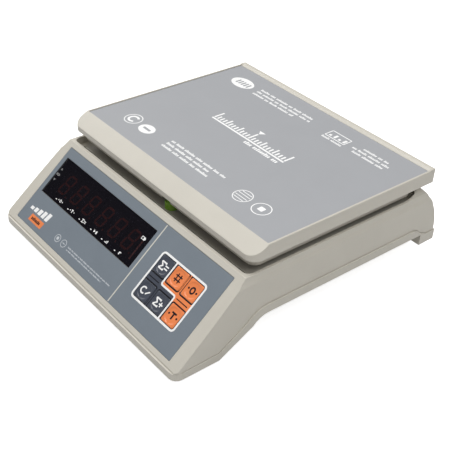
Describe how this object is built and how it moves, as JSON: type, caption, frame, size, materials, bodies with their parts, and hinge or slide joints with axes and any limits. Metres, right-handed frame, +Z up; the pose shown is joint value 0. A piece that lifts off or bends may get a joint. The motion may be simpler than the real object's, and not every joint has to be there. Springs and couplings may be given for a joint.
{
  "type": "counting scale",
  "caption": "Bench counting scale: a flat removable weighing pan on a load cell, in a low plastic housing with a sloping front console, tinted display window, keypad and levelling feet.",
  "frame": {"origin": "on the table under the middle of the scale's outline", "axes": "+X the operator's right, +Y from the operator towards the back, +Z up"},
  "size_m": [0.29, 0.32, 0.1006],
  "materials": {
    "casing_plastic": "fine moulded texture, warm light grey",
    "overlay_print": "satin printed film, slate grey",
    "pan_print": "satin printed film, light grey",
    "window_tint": "clear gloss, almost black",
    "key_dark": "satin, dark slate",
    "key_orange": "satin, orange",
    "circuit_board": "green solder mask",
    "digit_plastic": "matt black face",
    "aluminium": "machined or cast",
    "steel": "zinc plated",
    "rubber": "matt black",
    "black_plastic": "moulded black",
    "battery_wrap": "blue shrink wrap",
    "level_fluid": "clear green vial",
    "cable_sheath": "grey sheath"
  },
  "bodies": {
    "housing": {"battery_pack": "battery_wrap", "casing_screw_1": "steel", "casing_screw_2": "steel", "casing_screw_3": "steel", "casing_screw_4": "steel", "chassis_plate": "steel", "dc_jack": "black_plastic", "digit_module_left": "digit_plastic", "digit_module_right": "digit_plastic", "display_board": "circuit_board", "display_lens": "window_tint", "fixed_end_bolt_1": "steel", "fixed_end_bolt_2": "steel", "keypad_board": "circuit_board", "level_body": "level_fluid", "level_vial": "level_fluid", "load_cell": "aluminium", "load_cell_cable": "cable_sheath", "lower_casing": "casing_plastic", "lower_spacer": "aluminium", "main_board": "circuit_board", "overload_stop": "steel", "panel_overlay": "overlay_print", "switch_body": "black_plastic", "upper_casing": "casing_plastic"},
    "platform": {"platform_frame": "aluminium", "cushion_front_left": "rubber", "cushion_front_right": "rubber", "cushion_rear_left": "rubber", "cushion_rear_right": "rubber", "upper_spacer": "aluminium", "free_end_bolt_1": "steel", "free_end_bolt_2": "steel"},
    "weighing_pan": {"pan": "casing_plastic", "pan_label": "pan_print"},
    "key_total": {"key_total": "key_dark"},
    "key_unit": {"key_unit": "key_orange"},
    "key_zero": {"key_zero": "key_orange"},
    "key_clear": {"key_clear": "key_dark"},
    "key_add": {"key_add": "key_dark"},
    "key_tare": {"key_tare": "key_orange"},
    "power_rocker": {"power_rocker": "black_plastic"},
    "battery_cover": {"battery_cover": "casing_plastic"},
    "foot_pad_front_left": {"foot_pad_front_left": "rubber"},
    "foot_stud_front_left": {"foot_stud_front_left": "steel"},
    "foot_pad_front_right": {"foot_pad_front_right": "rubber"},
    "foot_stud_front_right": {"foot_stud_front_right": "steel"},
    "foot_pad_rear_left": {"foot_pad_rear_left": "rubber"},
    "foot_stud_rear_left": {"foot_stud_rear_left": "steel"},
    "foot_pad_rear_right": {"foot_pad_rear_right": "rubber"},
    "foot_stud_rear_right": {"foot_stud_rear_right": "steel"}
  },
  "joints": [
    {"name": "platform_deflection", "type": "slide", "parent": "housing", "child": "platform", "axis": [0, 0, -1], "range_m": [0, 0.0008], "stiffness_N_per_m": 100000, "springref_m": -0.00006, "deforming": ["load_cell"]},
    {"name": "pan_lift", "type": "slide", "parent": "platform", "child": "weighing_pan", "axis": [0, 0, 1], "range_m": [0, 0.06]},
    {"name": "key_total_press", "type": "slide", "parent": "housing", "child": "key_total", "axis": [0, 0.6551, -0.7555], "range_m": [0, 0.0004], "stiffness_N_per_m": 2000},
    {"name": "key_unit_press", "type": "slide", "parent": "housing", "child": "key_unit", "axis": [0, 0.6551, -0.7555], "range_m": [0, 0.0004], "stiffness_N_per_m": 2000},
    {"name": "key_zero_press", "type": "slide", "parent": "housing", "child": "key_zero", "axis": [0, 0.6551, -0.7555], "range_m": [0, 0.0004], "stiffness_N_per_m": 2000},
    {"name": "key_clear_press", "type": "slide", "parent": "housing", "child": "key_clear", "axis": [0, 0.6551, -0.7555], "range_m": [0, 0.0004], "stiffness_N_per_m": 2000},
    {"name": "key_add_press", "type": "slide", "parent": "housing", "child": "key_add", "axis": [0, 0.6551, -0.7555], "range_m": [0, 0.0004], "stiffness_N_per_m": 2000},
    {"name": "key_tare_press", "type": "slide", "parent": "housing", "child": "key_tare", "axis": [0, 0.6551, -0.7555], "range_m": [0, 0.0004], "stiffness_N_per_m": 2000},
    {"name": "power_rocker_tilt", "type": "hinge", "parent": "housing", "child": "power_rocker", "pos_m": [0.112, -0.02, 0.0305], "axis": [0, -1, 0], "range_deg": [0, 16]},
    {"name": "battery_cover_slide", "type": "slide", "parent": "housing", "child": "battery_cover", "axis": [-1, 0, 0], "range_m": [0, 0.055]},
    {"name": "foot_front_left_lower", "type": "slide", "parent": "housing", "child": "foot_pad_front_left", "axis": [0, 0, -1], "range_m": [0, 0.006]},
    {"name": "foot_front_left_turn", "type": "hinge", "parent": "foot_pad_front_left", "child": "foot_stud_front_left", "pos_m": [-0.098, -0.122, 0], "axis": [0, 0, 1], "range_deg": [0, 1730]},
    {"name": "foot_front_right_lower", "type": "slide", "parent": "housing", "child": "foot_pad_front_right", "axis": [0, 0, -1], "range_m": [0, 0.006]},
    {"name": "foot_front_right_turn", "type": "hinge", "parent": "foot_pad_front_right", "child": "foot_stud_front_right", "pos_m": [0.098, -0.122, 0], "axis": [0, 0, 1], "range_deg": [0, 1730]},
    {"name": "foot_rear_left_lower", "type": "slide", "parent": "housing", "child": "foot_pad_rear_left", "axis": [0, 0, -1], "range_m": [0, 0.006]},
    {"name": "foot_rear_left_turn", "type": "hinge", "parent": "foot_pad_rear_left", "child": "foot_stud_rear_left", "pos_m": [-0.098, 0.118, 0], "axis": [0, 0, 1], "range_deg": [0, 1730]},
    {"name": "foot_rear_right_lower", "type": "slide", "parent": "housing", "child": "foot_pad_rear_right", "axis": [0, 0, -1], "range_m": [0, 0.006]},
    {"name": "foot_rear_right_turn", "type": "hinge", "parent": "foot_pad_rear_right", "child": "foot_stud_rear_right", "pos_m": [0.098, 0.118, 0], "axis": [0, 0, 1], "range_deg": [0, 1730]}
  ],
  "couplings": [
    {"joint": "foot_front_left_turn", "follows": "foot_front_left_lower", "rad_per_m": 5026.5},
    {"joint": "foot_front_right_turn", "follows": "foot_front_right_lower", "rad_per_m": 5026.5},
    {"joint": "foot_rear_left_turn", "follows": "foot_rear_left_lower", "rad_per_m": 5026.5},
    {"joint": "foot_rear_right_turn", "follows": "foot_rear_right_lower", "rad_per_m": 5026.5}
  ]
}
